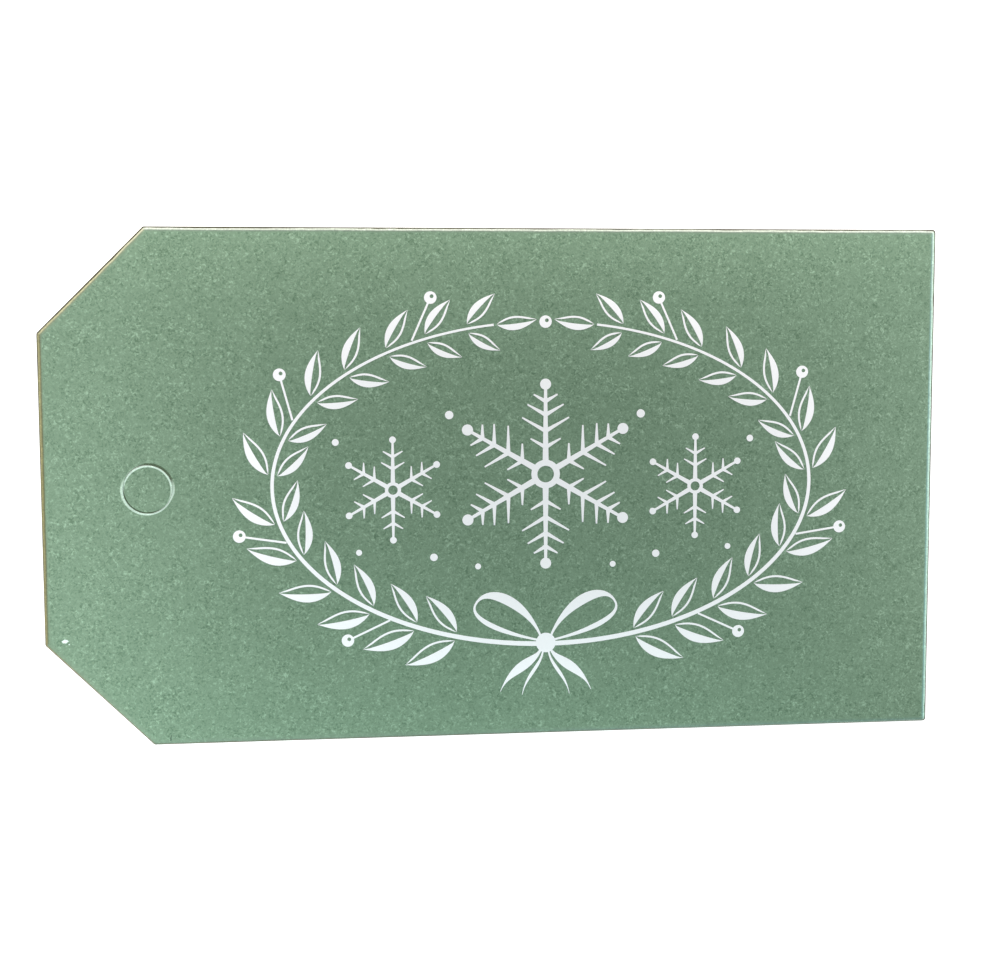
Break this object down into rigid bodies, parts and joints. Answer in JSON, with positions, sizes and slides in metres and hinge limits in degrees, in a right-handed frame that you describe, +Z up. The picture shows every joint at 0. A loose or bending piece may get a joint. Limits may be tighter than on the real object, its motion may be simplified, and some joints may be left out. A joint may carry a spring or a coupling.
{
  "type": "gift tag",
  "caption": "Flat printed card gift tag, square at one end and cut-cornered at the tie end, with a punch-out disc still seated in its round tie hole.",
  "frame": {"origin": "centre of the blank back, on the surface that the tag lies on", "axes": "+X along the length, from the tie end to the square end; +Y across the width; +Z up, out of the printed face"},
  "size_m": [0.0888, 0.0508, 0.0005],
  "materials": {
    "printed_paper": "matt sage green print on uncoated white paper, lightly mottled by the fibres",
    "core_board": "die-cut white board, slightly fibrous on the cut",
    "bare_paper": "bare uncoated white paper"
  },
  "bodies": {
    "card": {"printed_face": "printed_paper", "card_core": "core_board", "blank_back": "bare_paper"},
    "punch_out_disc": {"disc_face": "printed_paper", "disc_core": "core_board", "disc_back": "bare_paper"}
  },
  "joints": [
    {"name": "disc_push_out", "type": "slide", "parent": "card", "child": "punch_out_disc", "axis": [0, 0, 1], "range_m": [0, 0.006]}
  ]
}
